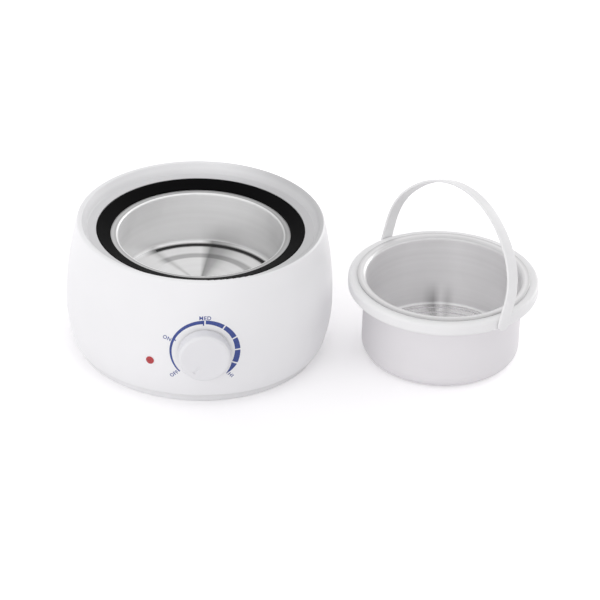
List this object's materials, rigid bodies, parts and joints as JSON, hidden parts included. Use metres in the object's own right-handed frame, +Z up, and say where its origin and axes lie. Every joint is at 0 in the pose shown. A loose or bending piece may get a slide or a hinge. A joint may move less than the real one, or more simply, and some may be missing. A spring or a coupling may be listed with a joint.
{
  "type": "candle wax melter",
  "caption": "Round thermostat wax heater with a heated well, and its handled melting pot standing beside it.",
  "frame": {"origin": "the heater's axis at table height, in the plane of the base rim that rests on the table", "axes": "+Z up along the heating well's axis, -Y towards the control knob, +Y out of the mains inlet, +X towards the standing wax pot"},
  "size_m": [0.3347, 0.2027, 0.1273],
  "materials": {
    "housing_white": "high-gloss injection-moulded white plastic",
    "base_white": "satin white plastic",
    "screw_steel": "zinc-plated steel",
    "pad_rubber": "matt black rubber",
    "ring_black": "satin black heat-resistant moulding",
    "bowl_aluminium": "spun aluminium, brushed wall and polished floor",
    "clip_steel": "spring steel",
    "band_steel": "steel-cased mica band",
    "wrap_fibre": "woven glass-fibre wrap",
    "tab_brass": "brass blade",
    "bimetal": "bimetal strip",
    "stack_ceramic": "steatite ceramic",
    "lens_red": "clear red plastic",
    "lamp_glass": "clear glass",
    "sleeve_black": "heat-shrink sleeve",
    "inlet_black": "black moulded plastic",
    "contact_nickel": "nickel-plated brass",
    "lead_brown": "silicone-insulated lead",
    "lead_white": "silicone-insulated lead",
    "lead_blue": "silicone-insulated lead",
    "knob_white": "glossy white plastic",
    "shaft_steel": "turned steel",
    "pot_aluminium": "deep-drawn aluminium, satin",
    "collar_white": "translucent white polypropylene",
    "bail_white": "white polypropylene"
  },
  "bodies": {
    "heater": {"housing": "housing_white", "base_plate": "base_white", "rubber_pads": "pad_rubber", "heat_ring": "ring_black", "heating_bowl": "bowl_aluminium", "inlet_socket": "inlet_black", "base_screws": "screw_steel", "bowl_clips": "clip_steel", "clip_screws": "screw_steel", "band_heater": "band_steel", "band_screw": "screw_steel", "band_nut": "screw_steel", "insulation_wrap": "wrap_fibre", "heater_tabs": "tab_brass", "thermostat_bracket": "clip_steel", "bracket_screws": "screw_steel", "bimetal_strip": "bimetal", "thermostat_body": "stack_ceramic", "thermostat_rivets": "tab_brass", "thermostat_bush": "tab_brass", "thermostat_tabs": "tab_brass", "lens_clip": "clip_steel", "neon_lamp": "lamp_glass", "lamp_sleeve": "sleeve_black", "inlet_contacts": "contact_nickel", "inlet_screws": "screw_steel", "fuse_sleeve": "wrap_fibre", "thermal_fuse": "contact_nickel", "fuse_clip": "clip_steel", "lead_live": "lead_brown", "lead_switched": "lead_white", "lead_heater": "lead_white", "lead_neutral": "lead_blue", "pilot_lens": "lens_red"},
    "knob": {"knob": "knob_white", "thermostat_shaft": "shaft_steel"},
    "pot": {"wax_pot": "pot_aluminium", "pot_collar": "collar_white"},
    "bail": {"bail": "bail_white"}
  },
  "joints": [
    {"name": "knob_turn", "type": "hinge", "parent": "heater", "child": "knob", "pos_m": [0, -0.1, 0.0452], "axis": [0, 1, 0], "range_deg": [0, 270]},
    {"name": "pot_lift", "type": "slide", "parent": "heater", "child": "pot", "axis": [0, 0, 1], "range_m": [0, 0.12]},
    {"name": "bail_swing", "type": "hinge", "parent": "pot", "child": "bail", "pos_m": [0.1722, -0.0181, 0.05595], "axis": [-0.5284, 0.849, 0], "range_deg": [-104.7, 75.3]}
  ]
}
